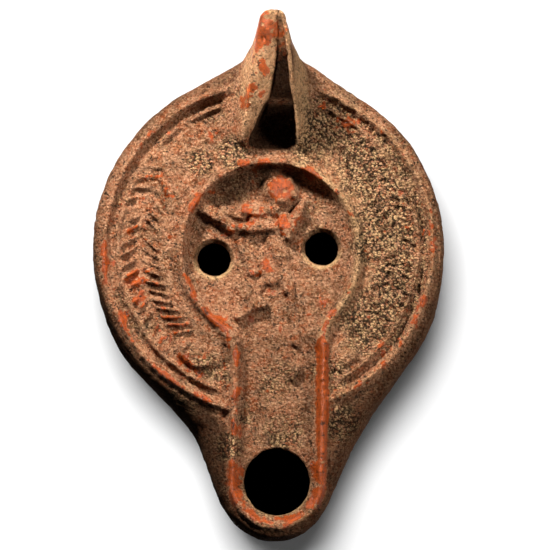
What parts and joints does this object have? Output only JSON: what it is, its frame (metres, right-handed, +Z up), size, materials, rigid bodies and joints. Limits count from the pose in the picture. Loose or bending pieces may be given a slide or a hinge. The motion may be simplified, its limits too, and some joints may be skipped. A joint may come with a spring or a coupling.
{
  "type": "roman oil lamp",
  "caption": "Mould-made clay oil lamp with a sunken discus, a channel to the nozzle, a palm-branch shoulder, filling holes, a wick hole and a solid lug handle.",
  "frame": {"origin": "centre of the flat foot, on the surface that the lamp stands on", "axes": "+Z up, the nozzle points to -Y and the handle to +Y, +X to the right seen from the nozzle"},
  "size_m": [0.0804, 0.1179, 0.0455],
  "materials": {
    "terracotta": "fired orange-red clay with remains of a red slip, gritty lime crust and soot"
  },
  "bodies": {
    "root": {"lamp_body": "terracotta"}
  },
  "joints": []
}
